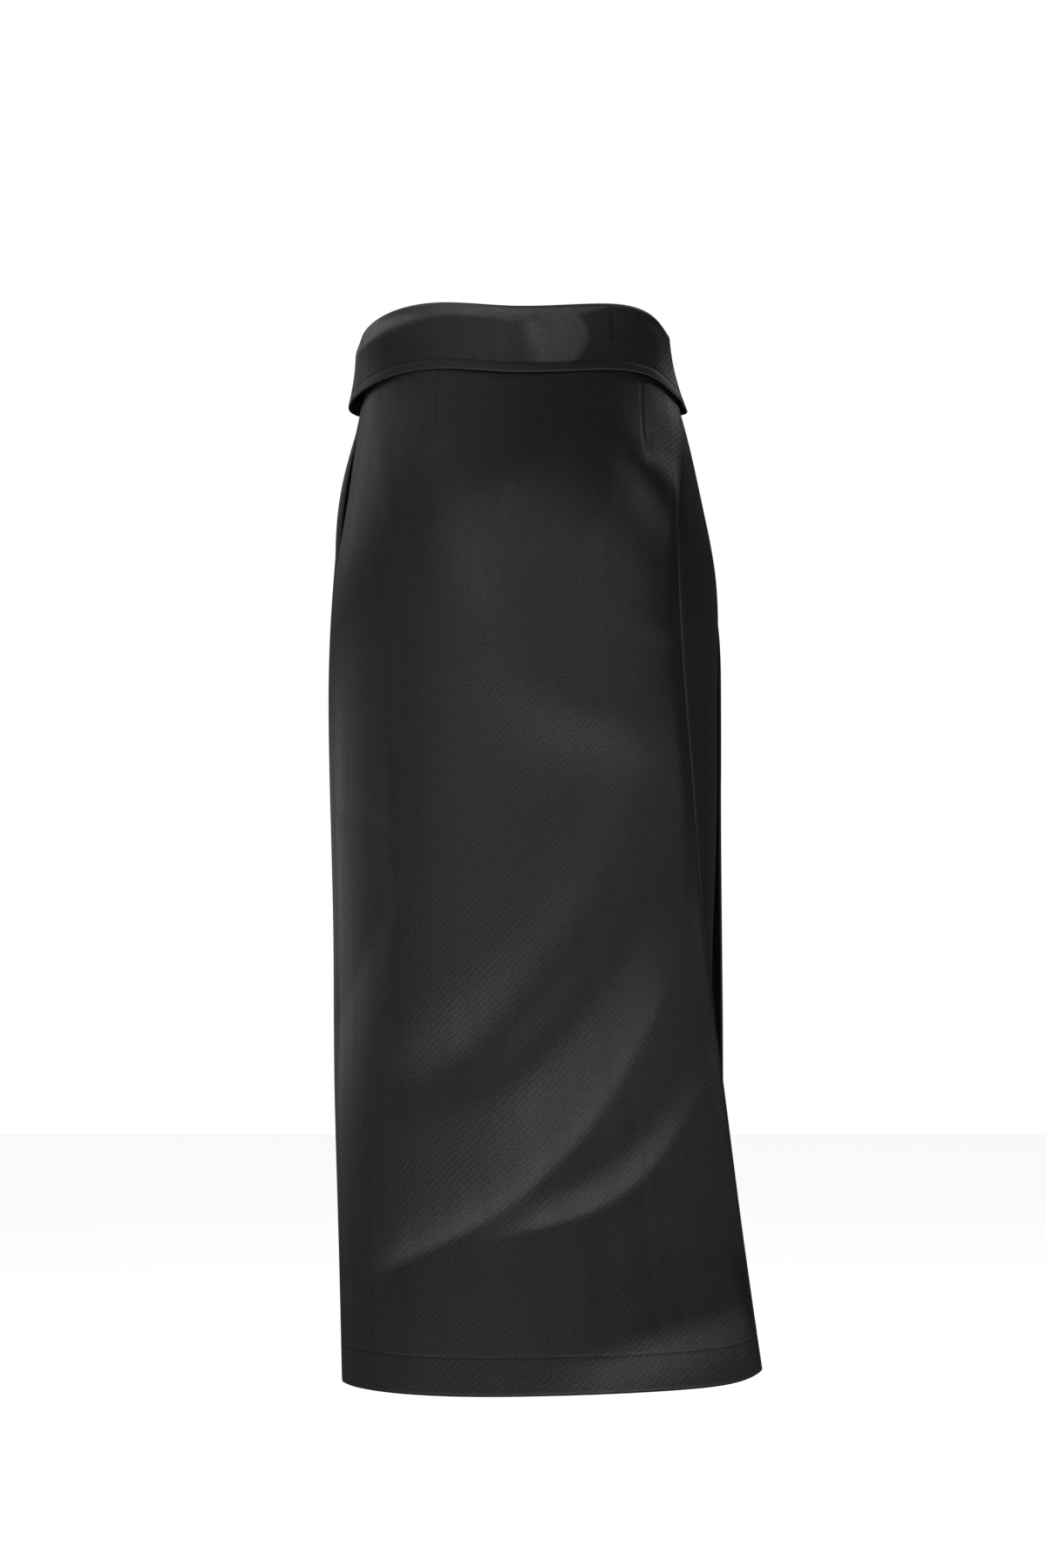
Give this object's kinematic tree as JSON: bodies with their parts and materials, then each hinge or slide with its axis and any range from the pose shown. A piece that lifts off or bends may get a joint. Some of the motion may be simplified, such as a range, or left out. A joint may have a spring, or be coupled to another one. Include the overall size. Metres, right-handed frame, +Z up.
{
  "type": "wrap skirt",
  "caption": "Long worn wrap skirt in black satin, with a wide turned-down waistband, lapped fronts, a side pocket and a tie at the right front.",
  "frame": {"origin": "centre of the waist opening, level with the band's fold at the back", "axes": "+X is the wearer's right, +Y the way the wearer faces, +Z up"},
  "size_m": [0.3664, 0.2591, 0.9085],
  "materials": {
    "satin": "black satin with a soft sheen",
    "pocketing": "matte black"
  },
  "bodies": {
    "root": {"back_panel": "satin", "front_overlap": "satin", "front_underlap": "satin", "waistband": "satin", "pocket_bag": "pocketing", "tie_knot": "satin", "tie_end_long": "satin", "tie_end_short": "satin"}
  },
  "joints": []
}
